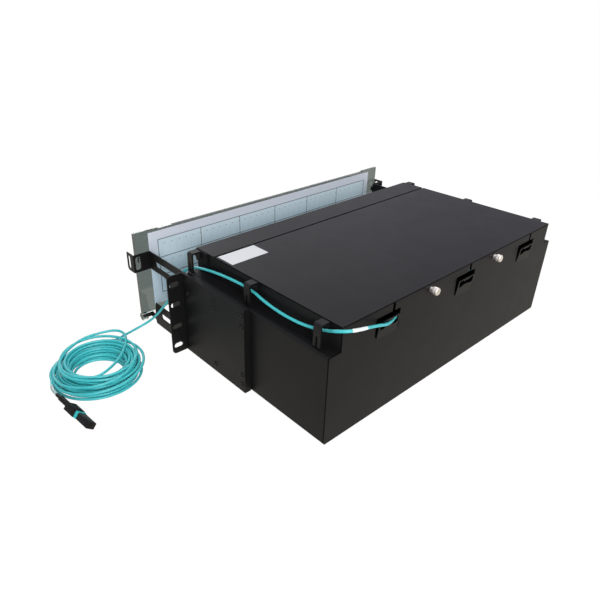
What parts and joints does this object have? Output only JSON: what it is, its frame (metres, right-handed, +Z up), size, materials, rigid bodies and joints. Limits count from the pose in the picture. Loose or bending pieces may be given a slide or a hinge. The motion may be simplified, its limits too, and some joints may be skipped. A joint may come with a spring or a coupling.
{
  "type": "fibre patch panel",
  "caption": "Rack-mount fibre patch panel with drop-down label door, side cable arms, rear cable entries and a coiled trunk cable with a multi-fibre plug.",
  "frame": {"origin": "on the underside of the housing, midway across, in the plane of the rack ears' rear faces", "axes": "+X across the rack, to the right as seen from the door, +Y from the door to the rear, +Z up"},
  "size_m": [0.6322, 0.3387, 0.1333],
  "materials": {
    "black_sheet_steel": "fine-textured satin powder coat",
    "cassette_plastic": "matte",
    "adapter_plastic": "satin",
    "smoked_plastic": "clear smoked gloss",
    "label_paper": "paper",
    "sticker_paper": "satin film",
    "pin_steel": "turned",
    "screw_metal": "knurled",
    "clip_plastic": "satin",
    "cable_jacket": "satin",
    "plug_black": "satin",
    "plug_aqua": "satin"
  },
  "bodies": {
    "panel": {"chassis_shell": "black_sheet_steel", "rear_panel": "black_sheet_steel", "front_top_strip": "black_sheet_steel", "top_cover": "black_sheet_steel", "rack_bracket_left": "black_sheet_steel", "rack_bracket_right": "black_sheet_steel", "cable_arm_left": "black_sheet_steel", "cable_arm_right": "black_sheet_steel", "cassette_rack": "black_sheet_steel", "cassette_a1": "cassette_plastic", "cassette_a2": "cassette_plastic", "cassette_a3": "cassette_plastic", "cassette_a4": "cassette_plastic", "cassette_a5": "cassette_plastic", "cassette_a6": "cassette_plastic", "cassette_b1": "cassette_plastic", "cassette_b2": "cassette_plastic", "cassette_b3": "cassette_plastic", "cassette_b4": "cassette_plastic", "cassette_b5": "cassette_plastic", "cassette_b6": "cassette_plastic", "cassette_c1": "cassette_plastic", "cassette_c2": "cassette_plastic", "cassette_c3": "cassette_plastic", "cassette_c4": "cassette_plastic", "cassette_c5": "cassette_plastic", "cassette_c6": "cassette_plastic", "adapters_a": "adapter_plastic", "adapters_b": "adapter_plastic", "adapters_c": "adapter_plastic", "blank_sticker": "sticker_paper", "hinge_pin_left": "pin_steel", "hinge_pin_right": "pin_steel", "cable_clip_left_front": "clip_plastic", "cable_clip_left_middle": "clip_plastic", "cable_clip_left_rear": "clip_plastic", "cable_clip_right_front": "clip_plastic", "cable_clip_right_middle": "clip_plastic", "cable_clip_right_rear": "clip_plastic", "trunk_cable": "cable_jacket", "trunk_coil": "cable_jacket", "trunk_tail": "cable_jacket", "plug_boot": "plug_black", "plug_cap": "plug_black", "inner_plug": "plug_black", "plug_core": "plug_aqua"},
    "door": {"door_panel": "smoked_plastic", "label_sheet": "label_paper", "door_catch_left": "smoked_plastic", "door_catch_right": "smoked_plastic"},
    "screw_left": {"thumbscrew_left": "screw_metal"},
    "screw_right": {"thumbscrew_right": "screw_metal"},
    "sleeve": {"plug_sleeve": "plug_black"}
  },
  "joints": [
    {"name": "door", "type": "hinge", "parent": "panel", "child": "door", "pos_m": [0, -0.0906, 0.0101], "axis": [1, 0, 0], "range_deg": [0, 90]},
    {"name": "screw_left_turn", "type": "hinge", "parent": "panel", "child": "screw_left", "pos_m": [-0.0625, 0.231, 0.1252], "axis": [0, 1, 0], "continuous": true},
    {"name": "screw_right_turn", "type": "hinge", "parent": "panel", "child": "screw_right", "pos_m": [0.0625, 0.231, 0.1252], "axis": [0, 1, 0], "continuous": true},
    {"name": "sleeve_slide", "type": "slide", "parent": "panel", "child": "sleeve", "axis": [0.0924, -0.9957, 0], "range_m": [0, 0.002], "stiffness_N_per_m": 800}
  ]
}
